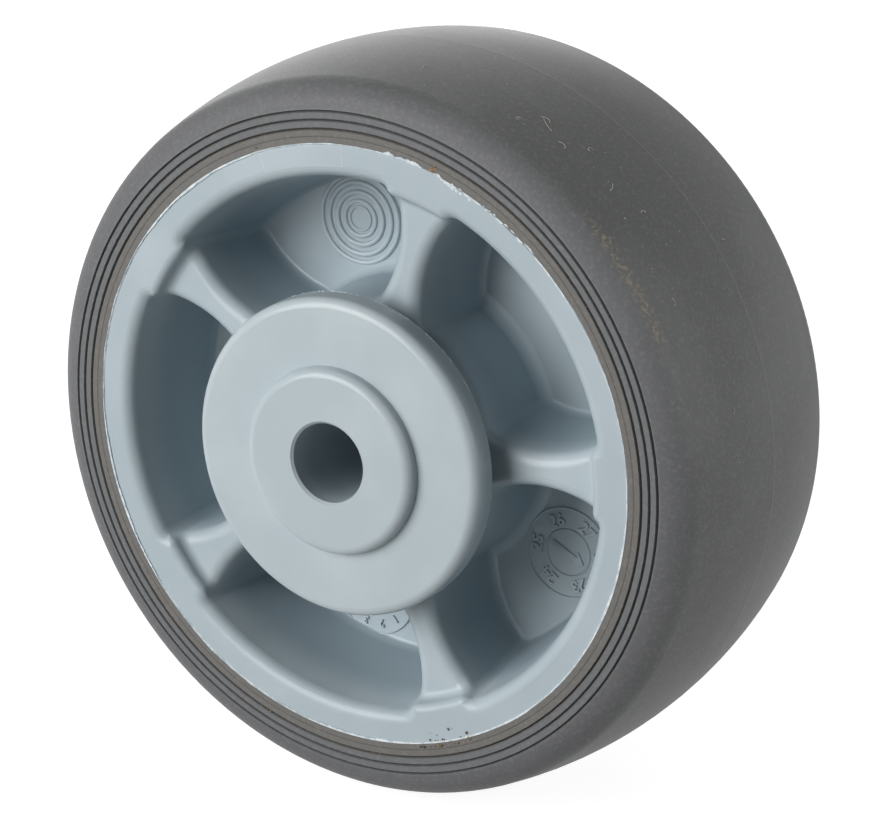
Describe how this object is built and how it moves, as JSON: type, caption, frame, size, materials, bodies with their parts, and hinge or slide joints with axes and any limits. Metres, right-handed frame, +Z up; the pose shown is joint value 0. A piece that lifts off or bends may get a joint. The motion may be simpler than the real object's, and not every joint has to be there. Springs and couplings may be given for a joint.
{
  "type": "trolley wheel",
  "caption": "Grey rubber tyre on a deep moulded plastic centre with spoke pockets and flanged bushes round a plain bore.",
  "frame": {"origin": "on the axle, at the wheel's mid-plane", "axes": "+Y along the axle from the front face to the rear, so the front faces -Y; +Z up; +X to the right as seen from the front"},
  "size_m": [0.125, 0.0658, 0.125],
  "materials": {
    "tyre": "matt grey, moulded",
    "centre": "pale grey moulded plastic, satin",
    "bush": "pale grey moulded plastic, smoother than the centre"
  },
  "bodies": {
    "root": {"tyre": "tyre", "wheel_centre": "centre", "front_hub_bush": "bush", "rear_hub_bush": "bush"}
  },
  "joints": []
}
